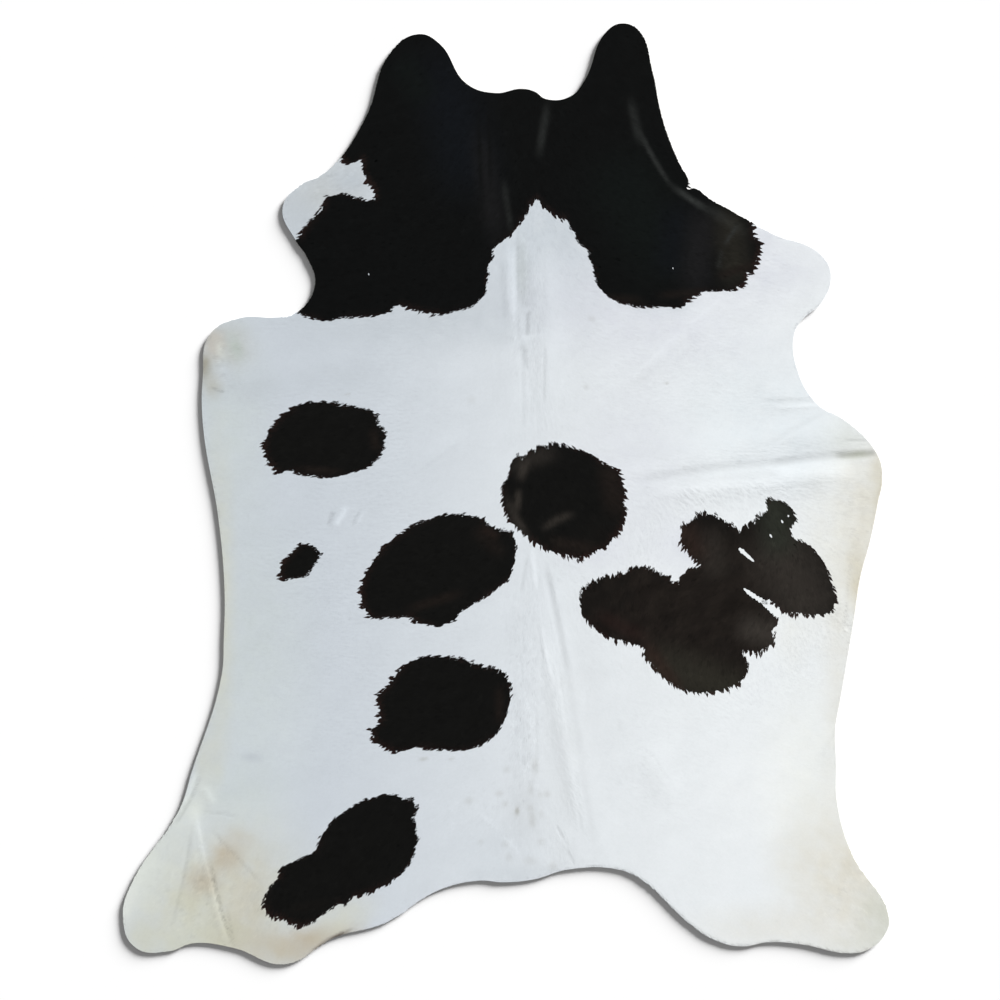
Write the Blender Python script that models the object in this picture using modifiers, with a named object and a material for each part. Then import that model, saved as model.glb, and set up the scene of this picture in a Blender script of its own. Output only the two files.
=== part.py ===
"""A whole cowhide rug, hair on, lying flat on a floor.

Metres, +Z up, hair side up, neck towards +Y. The origin is on the floor under the middle of the hide.
The skin is one flat sheet, cut to the hide's edge, then raised along the folds that it was packed with.
"""

from math import cos, floor, pi

import bmesh
import bpy
from mathutils import Vector

MM = 0.001

# The skin
SKIN_THICKNESS = 3.0 * MM
HAIR_COLOUR = (0.60, 0.64, 0.67)
HAIR_ROUGHNESS = 0.8
EDGE_STEPS = 8              # straight steps between two marks of the edge
COLLECTION_NAME = "cowhide_rug"

# How finely the sheet is cut up: wide cells where it lies flat, narrow ones across the folds
CELL_SIZES = (80.0 * MM, 40.0 * MM, 20.0 * MM)
WELD_DISTANCE = 0.05 * MM
CUT_TOLERANCE = 0.2 * MM    # a corner this near to a cut is taken as lying on it
FOLD_STEPS = 16             # places along a fold at which its distance is measured
FOLD_RUN_OUT = 0.3          # share of a fold's length over which it dies away at each end

# The knife-cut edge, seen from the hair side and going round with the clock: x and y in millimetres
EDGE_MARKS = {
    "left neck flap": ((-204, 1076), (-157, 1055), (-91, 959)),
    "neck": ((-23, 938), (35, 948), (66, 942), (94, 924), (152, 931)),
    "right neck flap": ((183, 966), (236, 1083), (274, 1101), (311, 1083)),
    "right neck": ((342, 990), (365, 878), (405, 772)),
    "nick in the right shoulder": ((427, 729), (424, 714), (441, 715)),
    "right shoulder": ((474, 690), (508, 672), (641, 601)),
    "right foreleg": ((688, 587), (739, 557), (760, 512), (737, 447), (697, 412)),
    "right armpit": ((676, 381), (681, 292), (732, 206)),
    "right belly": ((791, 173), (870, 89), (880, 35), (870, -19), (852, -108), (828, -197)),
    "right flank": ((812, -304), (782, -480), (770, -550), (772, -625), (775, -725)),
    "right hind leg": ((810, -845), (896, -994), (885, -1032), (854, -1062), (810, -1074)),
    "right thigh": ((690, -1053), (615, -1048), (548, -1058), (491, -1044), (435, -1009)),
    "rump": ((316, -901), (271, -880), (145, -878), (66, -901), (-9, -908), (-61, -904), (-159, -927)),
    "left thigh": ((-285, -1004), (-402, -1037), (-519, -1100), (-636, -1062), (-735, -1051)),
    "left hind leg": ((-786, -1069), (-868, -1060), (-896, -987), (-878, -917)),
    "left flank": ((-763, -737), (-735, -651), (-665, -424), (-660, -335), (-658, -234)),
    "left belly": ((-672, -61), (-709, 164), (-709, 274), (-693, 372), (-620, 412)),
    "left armpit": ((-541, 413), (-498, 419), (-447, 487)),
    "left foreleg": ((-466, 555), (-491, 592), (-522, 672), (-475, 725)),
    "left shoulder": ((-424, 749), (-328, 880), (-269, 1034)),
}

# The folds, each a soft ridge: its ends, how far its middle bows to the left of the way from start to end,
# its width from foot to foot, and its height. All in millimetres.
FOLDS = (
    # name                             start          end            bow  width  height
    ("upper back, left of the spine", (10, 600), (12, 130), 0, 90, 2.2),
    ("upper back, right of the spine", (88, 580), (90, 150), 0, 80, 1.8),
    ("lower back", (42, -150), (62, -790), 0, 90, 1.8),
    ("back to rump, left side", (74, -140), (226, -890), -10, 80, 2.6),
    ("rump", (130, -770), (180, -880), 0, 70, 1.5),
    ("right flank, upper side", (330, 62), (862, 140), 14, 110, 3.2),
    ("right flank, lower side", (330, -12), (868, 52), 14, 100, 2.8),
    ("right belly", (600, 218), (720, 218), 0, 80, 1.6),
    ("right rib", (610, 118), (750, 190), 8, 70, 1.6),
    ("right shoulder to armpit", (280, 252), (512, 428), 0, 90, 1.4),
    ("right neck", (306, 890), (420, 690), 18, 100, 2.4),
    ("right shoulder", (420, 690), (515, 655), 0, 80, 2.0),
    ("right foreleg", (545, 655), (520, 545), 0, 70, 1.5),
    ("left rib", (-215, 42), (-95, 126), 0, 70, 1.4),
    ("withers", (-20, 363), (148, 351), 0, 80, 1.4),
    ("left hind leg, inner", (-736, -740), (-648, -1050), 18, 80, 3.0),
    ("left hind leg, outer", (-726, -752), (-786, -985), -14, 80, 2.4),
    ("left thigh", (-650, -825), (-566, -915), 0, 70, 1.8),
    ("right thigh", (316, -592), (372, -740), 16, 80, 1.5),
    ("right flank edge", (800, -205), (792, -315), 0, 60, 1.5),
    ("right hock", (768, -548), (735, -625), 0, 60, 1.8),
)


def clear_scene():
    """Empty the scene of its objects."""
    for old in list(bpy.data.objects):
        bpy.data.objects.remove(old, do_unlink=True)


def make_material(name, colour, roughness):
    """A plain surface of one colour (linear) and roughness."""
    material = bpy.data.materials.new(name)
    material.use_nodes = True
    shader = material.node_tree.nodes["Principled BSDF"]
    shader.inputs["Base Color"].default_value = (*colour, 1.0)
    shader.inputs["Roughness"].default_value = roughness
    shader.inputs["Metallic"].default_value = 0.0
    return material


def make_outline(name, collection):
    """The edge of the hide as one closed, smooth, flat curve that is filled in."""
    marks = [mark for part in EDGE_MARKS.values() for mark in part]
    curve = bpy.data.curves.new(name, "CURVE")
    curve.dimensions = "2D"
    curve.fill_mode = "BOTH"
    curve.resolution_u = EDGE_STEPS
    spline = curve.splines.new("BEZIER")
    spline.bezier_points.add(len(marks) - 1)
    spline.use_cyclic_u = True
    for point, (x, y) in zip(spline.bezier_points, marks):
        point.co = (x * MM, y * MM, 0.0)
        point.handle_left_type = "AUTO"
        point.handle_right_type = "AUTO"
    outline = bpy.data.objects.new(name, curve)
    collection.objects.link(outline)
    return outline


def flatten_to_mesh(outline):
    """A bmesh of the filled outline, as one flat face that looks up."""
    depsgraph = bpy.context.evaluated_depsgraph_get()
    filled = bpy.data.meshes.new_from_object(outline.evaluated_get(depsgraph))
    sheet = bmesh.new()
    sheet.from_mesh(filled)
    bpy.data.meshes.remove(filled)
    bmesh.ops.remove_doubles(sheet, verts=sheet.verts, dist=WELD_DISTANCE)
    bmesh.ops.dissolve_faces(sheet, faces=sheet.faces, use_verts=False)
    if sheet.faces[:][0].normal.z < 0.0:
        bmesh.ops.reverse_faces(sheet, faces=sheet.faces)
    return sheet


class Fold:
    """A ridge along a bowed line, highest on the line and level at its feet."""

    def __init__(self, start, end, bow, width, height):
        self.half_width = width * MM / 2
        self.height = height * MM
        first = Vector(start) * MM
        last = Vector(end) * MM
        along = last - first
        sideways = Vector((-along.y, along.x)).normalized() * bow * MM
        self.length = along.length
        self.line = []
        for step in range(FOLD_STEPS + 1):
            share = step / FOLD_STEPS
            self.line.append(first + along * share + sideways * 4 * share * (1 - share))

    def nearest(self, place):
        """How far a place is from the line, and the share of the line's length where that is."""
        best_distance = None
        best_share = 0.0
        for step in range(FOLD_STEPS):
            start = self.line[step]
            along = self.line[step + 1] - start
            part = (place - start).dot(along) / along.length_squared
            part = min(max(part, 0.0), 1.0)
            distance = (place - start - along * part).length
            if best_distance is None or distance < best_distance:
                best_distance = distance
                best_share = (step + part) / FOLD_STEPS
        return best_distance, best_share

    def height_at(self, place):
        """The ridge's height above the flat sheet at a place."""
        distance, share = self.nearest(place)
        if distance >= self.half_width:
            return 0.0
        run_out = min(share, 1 - share) / FOLD_RUN_OUT
        ending = 0.5 - 0.5 * cos(pi * min(run_out, 1.0))
        return self.height * ending * (0.5 + 0.5 * cos(pi * distance / self.half_width))

    def reaches(self, place, margin):
        """Whether a place is on the ridge, or nearer to it than the margin."""
        return self.nearest(place)[0] < self.half_width + margin


def cut_faces(sheet, faces, cell):
    """Cut faces along a square grid of lines that lie one cell apart."""
    for axis in (0, 1):
        normal = Vector((0.0, 0.0, 0.0))
        normal[axis] = 1.0
        places = [vert.co[axis] for face in faces for vert in face.verts]
        first_line = floor(min(places) / cell) + 1
        last_line = floor(max(places) / cell)
        for line in range(first_line, last_line + 1):
            level = line * cell
            crossed = [face for face in faces if spans(face, axis, level)]
            if not crossed:
                continue
            parts = crossed + list({edge for face in crossed for edge in face.edges})
            parts += list({vert for face in crossed for vert in face.verts})
            cut = bmesh.ops.bisect_plane(sheet, geom=parts, dist=CUT_TOLERANCE, plane_co=normal * level,
                                         plane_no=normal)
            pieces = [part for part in cut["geom"] if isinstance(part, bmesh.types.BMFace)]
            whole = set(crossed)
            faces = [face for face in faces if face not in whole] + pieces


def spans(face, axis, level):
    """Whether a face lies on both sides of a grid line."""
    places = [vert.co[axis] for vert in face.verts]
    return min(places) < level < max(places)


def cut_sheet(sheet, folds):
    """Cut the sheet into cells, finer step by step on the folds."""
    cut_faces(sheet, list(sheet.faces), CELL_SIZES[0])
    for wider, cell in zip(CELL_SIZES, CELL_SIZES[1:]):
        near = []
        for face in sheet.faces:
            middle = face.calc_center_median().to_2d()
            if any(fold.reaches(middle, wider / 2) for fold in folds):
                near.append(face)
        cut_faces(sheet, near, cell)


def raise_folds(sheet, folds):
    """Lift each corner of the cut sheet by the folds that it lies on."""
    for vert in sheet.verts:
        place = vert.co.to_2d()
        vert.co.z = sum(fold.height_at(place) for fold in folds)


def make_hide(collection):
    """The hide: a sheet of even thickness whose underside follows the folds."""
    outline = make_outline("hide_outline", collection)
    sheet = flatten_to_mesh(outline)
    bpy.data.objects.remove(outline, do_unlink=True)
    folds = [Fold(*row[1:]) for row in FOLDS]
    cut_sheet(sheet, folds)
    raise_folds(sheet, folds)
    bmesh.ops.triangulate(sheet, faces=sheet.faces, quad_method="BEAUTY", ngon_method="BEAUTY")
    mesh = bpy.data.meshes.new("hide")
    sheet.to_mesh(mesh)
    sheet.free()
    hide = bpy.data.objects.new("hide", mesh)
    collection.objects.link(hide)
    mesh.materials.append(make_material("hair_on_hide", HAIR_COLOUR, HAIR_ROUGHNESS))
    skin = hide.modifiers.new("skin thickness", "SOLIDIFY")
    skin.thickness = SKIN_THICKNESS
    skin.offset = 1.0
    return hide


def main():
    clear_scene()
    collection = bpy.data.collections.new(COLLECTION_NAME)
    bpy.context.scene.collection.children.link(collection)
    make_hide(collection)


main()
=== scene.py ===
import math

import bpy
import numpy as np
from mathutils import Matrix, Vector
from mathutils.bvhtree import BVHTree
from mathutils.geometry import delaunay_2d_cdt
from mathutils.kdtree import KDTree


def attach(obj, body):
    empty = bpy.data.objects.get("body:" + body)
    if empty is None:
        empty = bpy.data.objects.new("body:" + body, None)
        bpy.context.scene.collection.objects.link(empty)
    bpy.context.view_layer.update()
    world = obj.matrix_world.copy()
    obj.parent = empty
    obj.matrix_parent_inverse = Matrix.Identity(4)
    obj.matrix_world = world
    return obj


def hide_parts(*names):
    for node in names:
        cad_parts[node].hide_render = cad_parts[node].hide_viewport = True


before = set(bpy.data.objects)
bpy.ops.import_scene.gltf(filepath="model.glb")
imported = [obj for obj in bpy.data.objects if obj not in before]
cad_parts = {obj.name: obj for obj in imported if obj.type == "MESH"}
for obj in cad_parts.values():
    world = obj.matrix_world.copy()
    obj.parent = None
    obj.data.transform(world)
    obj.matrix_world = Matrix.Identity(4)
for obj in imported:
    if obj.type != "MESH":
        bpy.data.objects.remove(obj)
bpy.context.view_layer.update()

# A whole cowhide with its hair on, lying on a pale floor. Metres, neck towards +Y, hair side up.
# Tables are in millimetres from the middle of the hide, as seen from above.

mm = 0.001


# small helpers

def hexToLinear(code):
    # an sRGB hex value as linear red, green and blue
    parts = [int(code[i:i + 2], 16) / 255 for i in (1, 3, 5)]
    return np.array([c / 12.92 if c <= 0.04045 else ((c + 0.055) / 1.055) ** 2.4 for c in parts])


def addNode(tree, kind, settings=None, links=None):
    # one node with its settings; links maps its input names to the sockets that feed them
    node = tree.nodes.new(kind)
    for key, value in (settings or {}).items():
        if isinstance(key, str) and hasattr(node, key):
            setattr(node, key, value)
        else:
            node.inputs[key].default_value = value
    for key, socket in (links or {}).items():
        tree.links.new(socket, node.inputs[key])
    return node


def newMaterial(name):
    material = bpy.data.materials.new(name)
    material.use_nodes = True
    return material, material.node_tree, material.node_tree.nodes["Principled BSDF"]


def smoothStep(low, high, value):
    share = np.clip((value - low) / (high - low), 0.0, 1.0)
    return share * share * (3 - 2 * share)


def waves(points, length, seed, octaves=3):
    # soft noise from -1 to 1, whose largest swells are about one length across
    draw = np.random.default_rng(seed)
    total = np.zeros(len(points))
    wavesPerOctave = 5
    size = 1.0
    reach = 0.0
    for octave in range(octaves):
        for wave in range(wavesPerOctave):
            turn = draw.uniform(0, 2 * math.pi)
            pitch = length / 2 ** octave * draw.uniform(0.7, 1.4)
            phase = draw.uniform(0, 2 * math.pi)
            along = points[:, 0] * math.cos(turn) + points[:, 1] * math.sin(turn)
            total += size * np.sin(2 * math.pi * along / pitch + phase)
        reach += size * 2.2     # five waves seldom add up to more
        size *= 0.55
    return np.clip(total / reach, -1.0, 1.0)


def bowedLine(start, end, bow, steps=14):
    # points along a line whose middle is moved sideways by the bow
    share = np.linspace(0.0, 1.0, steps + 1)[:, None]
    first = np.array(start, float) * mm
    last = np.array(end, float) * mm
    along = last - first
    sideways = np.array([-along[1], along[0]]) / np.hypot(*along) * bow * mm
    return first + along * share + sideways * 4 * share * (1 - share)


def segmentDistance(points, start, end):
    # distance to a straight line, and the share of its length that is nearest
    along = end - start
    away = points - start
    part = np.clip(away @ along / (along @ along), 0.0, 1.0)
    rest = away - part[:, None] * along
    return np.hypot(rest[:, 0], rest[:, 1]), part


def lineDistance(points, line):
    # distance to a line of points, and the share of its length there
    best = np.full(len(points), np.inf)
    share = np.zeros(len(points))
    count = len(line) - 1
    for i in range(count):
        distance, part = segmentDistance(points, line[i], line[i + 1])
        nearer = distance < best
        best[nearer] = distance[nearer]
        share[nearer] = (i + part[nearer]) / count
    return best, share


def softLine(points, start, end, bow, width, runOut):
    # 1 on a bowed line, falling softly to 0 at half its width and, over the run-out, at its ends
    value = np.zeros(len(points))
    line = bowedLine(start, end, bow)
    reach = width * mm / 2
    low = line.min(axis=0) - reach
    high = line.max(axis=0) + reach
    near = np.all((points > low) & (points < high), axis=1)
    if near.any():
        distance, share = lineDistance(points[near], line)
        ending = np.clip(np.minimum(share, 1 - share) / runOut, 0.0, 1.0)
        ending = 0.5 - 0.5 * np.cos(math.pi * ending)
        value[near] = ending * (0.5 + 0.5 * np.cos(math.pi * np.clip(distance / reach, 0.0, 1.0)))
    return value


def softSpot(points, x, y, width, height, turn):
    # 1 in the middle of an oval, falling softly to 0 at its rim
    angle = math.radians(turn)
    dx = points[:, 0] - x * mm
    dy = points[:, 1] - y * mm
    across = (dx * math.cos(angle) + dy * math.sin(angle)) / (width * mm / 2)
    along = (-dx * math.sin(angle) + dy * math.cos(angle)) / (height * mm / 2)
    return 1 - smoothStep(0.0, 1.0, np.hypot(across, along))


borderReach = 60 * mm      # beyond this a place counts as this far from a border


def borderDepth(points, border):
    # signed distance to a closed border: positive inside it
    corners = np.array(border, float) * mm
    low = corners.min(axis=0) - borderReach
    high = corners.max(axis=0) + borderReach
    near = np.flatnonzero(np.all((points > low) & (points < high), axis=1))
    spots = points[near]
    nearest = np.full(len(near), borderReach)
    inside = np.zeros(len(near), bool)
    for a, b in zip(corners, np.roll(corners, -1, axis=0)):
        nearest = np.minimum(nearest, segmentDistance(spots, a, b)[0])
        if a[1] != b[1]:
            crosses = (a[1] > spots[:, 1]) != (b[1] > spots[:, 1])
            meets = a[0] + (spots[:, 1] - a[1]) / (b[1] - a[1]) * (b[0] - a[0])
            inside ^= crosses & (spots[:, 0] < meets)
    depth = np.full(len(points), -borderReach)
    depth[near] = np.where(inside, nearest, -nearest)
    return depth


def meshObject(name, verts, faces, smooth=True):
    # a mesh from arrays of corner places and of triangles
    mesh = bpy.data.meshes.new(name)
    mesh.vertices.add(len(verts))
    mesh.vertices.foreach_set("co", np.asarray(verts, np.float32).ravel())
    mesh.loops.add(len(faces) * 3)
    mesh.loops.foreach_set("vertex_index", np.asarray(faces, np.int32).ravel())
    mesh.polygons.add(len(faces))
    mesh.polygons.foreach_set("loop_start", np.arange(len(faces), dtype=np.int32) * 3)
    mesh.update(calc_edges=True)
    mesh.validate()
    if smooth:
        mesh.shade_smooth()
    piece = bpy.data.objects.new(name, mesh)
    bpy.context.scene.collection.objects.link(piece)
    return piece


def setAttribute(piece, name, kind, values):
    # one value or colour for each point
    attribute = piece.data.attributes.new(name, kind, "POINT")
    field = "color" if kind == "FLOAT_COLOR" else "value"
    attribute.data.foreach_set(field, np.asarray(values, np.float32).ravel())


def setMapUV(piece, cornerUV):
    # where each face lies on the piece's own map, with no two on the same place
    layer = piece.data.uv_layers.new(name="OFBake")
    layer.data.foreach_set("uv", np.asarray(cornerUV, np.float32).ravel())


# the skin as built: its top side, its edge and how high it lies

class Skin:
    # reads the CAD solid, which is never changed
    def __init__(self, node):
        mesh = node.data
        verts = np.empty(len(mesh.vertices) * 3, np.float32)
        mesh.vertices.foreach_get("co", verts)
        verts = verts.reshape(-1, 3).astype(float)
        mesh.calc_loop_triangles()
        tris = np.empty(len(mesh.loop_triangles) * 3, np.int32)
        mesh.loop_triangles.foreach_get("vertices", tris)
        tris = tris.reshape(-1, 3)
        a, b, c = (verts[tris[:, i]] for i in range(3))
        normal = np.cross(b - a, c - a)
        normal /= np.linalg.norm(normal, axis=1)[:, None]
        top = tris[normal[:, 2] > 0.5]
        self.tree = BVHTree.FromPolygons(verts.tolist(), top.tolist())
        self.edge = self.orderEdge(verts, top)
        self.edgeTree = self.sampleEdge()

    def orderEdge(self, verts, top):
        # the rim of the top side as one ring of places
        perMetre = 1e5         # places within 0.01 mm count as one
        key = np.round(verts[:, :2] * perMetre).astype(np.int64)
        unique, index = np.unique(key, axis=0, return_inverse=True)
        index = index.ravel()
        follows = {}
        seen = set()
        for tri in index[top]:
            for i in range(3):
                seen.add((tri[i], tri[(i + 1) % 3]))
        for a, b in seen:
            if (b, a) not in seen:
                follows[a] = b
        first = next(iter(follows))
        ring = [first]
        while follows[ring[-1]] != first:
            ring.append(follows[ring[-1]])
        return unique[ring] / perMetre

    def sampleEdge(self):
        # places a millimetre apart along the edge, to find the nearest one quickly
        places = []
        for a, b in zip(self.edge, np.roll(self.edge, -1, axis=0)):
            steps = max(1, int(np.hypot(*(b - a)) / mm))
            for step in range(steps):
                places.append(a + (b - a) * step / steps)
        tree = KDTree(len(places))
        for i, place in enumerate(places):
            tree.insert((place[0], place[1], 0.0), i)
        tree.balance()
        return tree

    def below(self, x, y):
        # the place on the top side straight below, or None outside the edge
        return self.tree.ray_cast(Vector((x, y, 1.0)), Vector((0, 0, -1)))[0]

    def height(self, x, y):
        # how high the top side lies, outside the edge as high as its nearest place
        hit = self.below(x, y)
        if hit is None:
            hit = self.tree.find_nearest(Vector((x, y, 3 * mm)))[0]
        return hit.z

    def depth(self, points):
        # distance in from the edge, negative outside
        result = np.empty(len(points))
        for i, (x, y) in enumerate(points):
            distance = self.edgeTree.find((x, y, 0.0))[2]
            result[i] = -distance if self.below(x, y) is None else distance
        return result


class SkinTop:
    # the top side's height on a grid, evened out and read between its points
    def __init__(self, skin, pitch, passes, margin):
        low = skin.edge.min(axis=0) - margin
        high = skin.edge.max(axis=0) + margin
        self.low = low
        self.pitch = pitch
        self.shape = np.ceil((high - low) / pitch).astype(int) + 1
        grid = np.empty(self.shape)
        for i in range(self.shape[0]):
            for j in range(self.shape[1]):
                grid[i, j] = skin.height(low[0] + i * pitch, low[1] + j * pitch)
        for turn in range(passes):
            padded = np.pad(grid, 1, mode="edge")
            beside = padded[2:, 1:-1] + padded[:-2, 1:-1] + padded[1:-1, 2:] + padded[1:-1, :-2]
            grid = 0.5 * grid + 0.125 * beside
        self.grid = grid

    def __call__(self, points):
        place = (points - self.low) / self.pitch
        place = np.clip(place, 0, self.shape - 1.001)      # stays inside the last cell
        cell = place.astype(int)
        part = place - cell
        i, j = cell[:, 0], cell[:, 1]
        u, v = part[:, 0], part[:, 1]
        left = self.grid[i, j] * (1 - v) + self.grid[i, j + 1] * v
        right = self.grid[i + 1, j] * (1 - v) + self.grid[i + 1, j + 1] * v
        return left * (1 - u) + right * u


skin = Skin(bpy.data.objects["hide"])
skinTop = SkinTop(skin, pitch=8 * mm, passes=20, margin=30 * mm)
print("skin read:", len(skin.edge), "places along the edge")


# camera: straight above the hide, as in the photograph

view = {
    "lens": 85.0,
    "sensor": 36.0,
    "fieldWidth": 2.34,        # metres across the picture, at the height of the hair
    "hairHeight": 5 * mm,
    "centre": (-14 * mm, -14 * mm),
}
cameraData = bpy.data.cameras.new("camera")
cameraData.lens = view["lens"]
cameraData.sensor_width = view["sensor"]
camera = bpy.data.objects.new("camera", cameraData)
cameraHeight = view["fieldWidth"] * view["lens"] / view["sensor"] + view["hairHeight"]
camera.location = (*view["centre"], cameraHeight)
bpy.context.scene.collection.objects.link(camera)
bpy.context.scene.camera = camera
print("camera placed:", round(cameraHeight, 3), "m up")


# creases in the coat, besides the folds of the skin below it

creases = {
    # start, end, bow, width, height, and how much lighter or darker the coat is painted there: painted
    # shade in the furrows and painted highlight on the ridges and bands, besides the real marks of the
    # scratch and the scar
    "spine, upper ridge": ((5, 604), (15, 388), 0, 30, 0.25, 0.085),
    "spine, upper ridge, crest": ((15, 594), (18, 398), 0, 13, 0.1, 0.03),
    "spine, right of the ridge": ((26, 627), (29, 445), 0, 9, -0.1, -0.09),
    "spine, left of the ridge": ((-14, 552), (0, 402), 0, 20, -0.1, -0.06),
    "spine, upper hollow": ((33, 594), (35, 426), 0, 34, -0.3, -0.1),
    "spine, upper hollow, right": ((51, 566), (56, 417), 0, 36, 0, -0.06),
    "spine, short slit": ((50, 428), (50, 365), 0, 18, -0.2, -0.22),
    "spine, short slit, left": ((27, 426), (30, 353), 0, 11, -0.1, -0.07),
    "spine, middle furrow": ((36, 356), (47, 290), 0, 26, -0.2, -0.12),
    "spine, middle furrow, foot": ((40, 309), (40, 140), 0, 16, -0.1, -0.05),
    "spine, right furrow": ((90, 360), (87, 211), 0, 11, -0.15, -0.1),
    "spine, right furrow, top": ((91, 571), (90, 337), 0, 12, 0, -0.035),
    "withers, light pleat": ((28, 365), (98, 374), 0, 14, 0.15, 0.05),
    "withers, left pleat": ((-16, 367), (28, 365), 0, 9, -0.1, -0.06),
    "withers, right pleat": ((91, 358), (150, 351), 0, 9, -0.1, -0.03),
    "behind the spine patch, ridge": ((58, -119), (70, -234), 0, 20, 0.2, 0.07),
    "behind the spine patch, mark": ((49, -145), (35, -234), 0, 14, -0.1, -0.1),
    "back, left furrow": ((61, -183), (87, -440), 4, 13, -0.08, -0.02),
    "back, ridge": ((66, -220), (110, -459), -3, 16, 0.12, 0.03),
    "back, main furrow": ((88, -154), (144, -431), 2, 26, -0.3, -0.13),
    "back, main furrow, middle": ((133, -365), (180, -634), -2, 30, -0.15, -0.06),
    "back, main furrow, foot": ((173, -587), (211, -875), -2, 26, -0.05, -0.03),
    "rump, left line": ((71, -482), (71, -665), 0, 12, -0.05, -0.05),
    "rump, fine ridge": ((-75, -735), (42, -852), 3, 11, 0.05, 0.07),
    "rump, fine furrow": ((-66, -758), (14, -814), 2, 10, -0.05, -0.09),
    "rump, left furrow": ((119, -377), (159, -632), -3, 12, -0.08, -0.015),
    "rump, left furrow, foot": ((154, -599), (176, -824), 0, 12, -0.1, -0.01),
    "rump, short furrow": ((117, -772), (136, -812), 0, 9, -0.2, -0.12),
    "rump, short furrow, foot": ((140, -828), (166, -878), 0, 12, -0.15, -0.08),
    "right flank furrow": ((281, 21), (702, 75), 10, 34, -0.4, -0.04),
    "right flank furrow, outer": ((606, 66), (805, 91), 4, 34, -0.4, -0.1),
    "right flank furrow, rim": ((763, 89), (875, 96), 0, 28, -0.5, -0.26),
    "right flank, upper pleat": ((782, 124), (856, 126), 0, 11, -0.2, -0.12),
    "right flank, ridge below": ((608, 38), (829, 54), 4, 74, 0.3, 0.09),
    "right flank, long ridge": ((314, -2), (688, 23), 6, 44, 0.2, 0.06),
    "right belly furrow": ((585, 215), (721, 220), 0, 20, -0.2, -0.05),
    "right belly ridge": ((622, 199), (739, 208), 0, 16, 0.2, 0.04),
    "right rib furrow": ((604, 105), (756, 194), 5, 22, -0.2, -0.05),
    "right shoulder line": ((271, 248), (421, 393), 0, 12, 0.1, 0.03),
    "right shoulder line, outer": ((421, 388), (510, 463), 0, 12, 0.1, 0.03),
    "right shoulder hollow": ((290, 239), (454, 384), 0, 34, -0.1, -0.02),
    "left rib furrow": ((-215, 42), (-94, 126), 0, 16, -0.15, -0.03),
    "left hind leg, ridge": ((-727, -735), (-650, -1062), -6, 13, 0.35, 0.11),
    "left hind leg, inner furrow": ((-693, -852), (-640, -1058), -3, 9, -0.4, -0.26),
    "left hind leg, inner furrow, foot": ((-653, -962), (-634, -1067), 0, 10, -0.2, -0.16),
    "left hind leg, outer furrow": ((-728, -744), (-784, -1020), 4, 16, -0.25, -0.08),
    "left hind leg, apex": ((-731, -721), (-718, -899), 0, 44, 0.2, 0.06),
    "left hind leg, cross furrow": ((-718, -742), (-622, -753), 0, 9, -0.15, -0.1),
    "left hind leg, long furrow": ((-697, -777), (-562, -922), 0, 11, -0.25, -0.12),
    "left flank furrow": ((-711, -641), (-782, -782), 9, 13, -0.2, -0.18),
    "left corner, scratch": ((-690, 252), (-656, 238), -2, 10, -0.1, -0.3),
    "left flank ridge": ((-725, -646), (-758, -730), 4, 16, 0.15, 0.1),
    "left flank knob": ((-706, -682), (-682, -728), 0, 26, 0.3, 0.07),
    "right edge furrow": ((812, -136), (796, -257), -3, 11, -0.15, -0.12),
    "right edge furrow, foot": ((798, -243), (789, -314), 0, 9, -0.2, -0.15),
    "right edge scar": ((791, -314), (798, -323), 0, 9, 0.2, 0.12),
    "right hock furrow": ((770, -548), (735, -627), 0, 14, -0.15, -0.05),
    "right thigh arc": ((314, -590), (381, -676), 7, 9, -0.1, -0.06),
    "right thigh arc, foot": ((381, -674), (379, -749), -2, 11, 0, -0.03),
    "right thigh mark": ((264, -524), (269, -559), 0, 9, 0, -0.06),
    "right flank, upper band": ((243, 56), (739, 112), 0, 56, 0, 0.035),
    "rump, light band": ((84, -271), (195, -833), -3, 46, 0, 0.1),
    "left flank pucker, first": ((-401, -37), (-418, -77), 0, 15, -0.3, -0.22),
    "left flank pucker, ridge": ((-372, -28), (-402, -77), 2, 20, 0.3, 0.16),
    "left flank pucker, second": ((-338, -35), (-359, -77), -1, 11, -0.3, -0.13),
    "left flank pucker, outer ridge": ((-332, -40), (-349, -75), 0, 13, 0.2, 0.08),
}


creaseRunOut = 0.2         # share of its length over which a crease fades at either end


def creaseHeight(points):
    total = np.zeros(len(points))
    for start, end, bow, width, height, tone in creases.values():
        total += softLine(points, start, end, bow, width, creaseRunOut) * height * mm
    return total


def creaseShadeAndHighlight(points):
    # painted shade in the furrows and painted highlight on the ridges and bands: what the coat's
    # brightness is multiplied by
    total = np.zeros(len(points))
    for start, end, bow, width, height, tone in creases.values():
        total += softLine(points, start, end, bow, width, creaseRunOut) * tone
    return np.clip(1 + total, 0.5, 1.3)[:, None]


# which way the hair lies

hairLie = {
    "spineX": 66 * mm,         # the spine is a little right of the middle
    "spread": 140 * mm,        # how soon the hair turns away from the spine
    "flankLean": 78.0,         # degrees from straight back, on the flanks
    "neckLean": 50.0,
    "neckFrom": (550 * mm, 950 * mm),      # over this stretch the lean changes to the neck's
    "hindLean": 42.0,
    "hindFrom": (-450 * mm, -950 * mm),
    "whorl": (470, -240, 900, 760, 0),   # x, y, width, height, turn of the whorl on the right flank
    "whorlTurn": -135.0,       # degrees that the hair turns in it
    "wander": 11.0,            # degrees either way
    "wanderLength": 240 * mm,
    "tipReach": 1.7 * mm,      # from root to tip, seen from above
    "borderCover": 0.8 * mm,   # what the light hair over a dark border would hide
}


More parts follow.
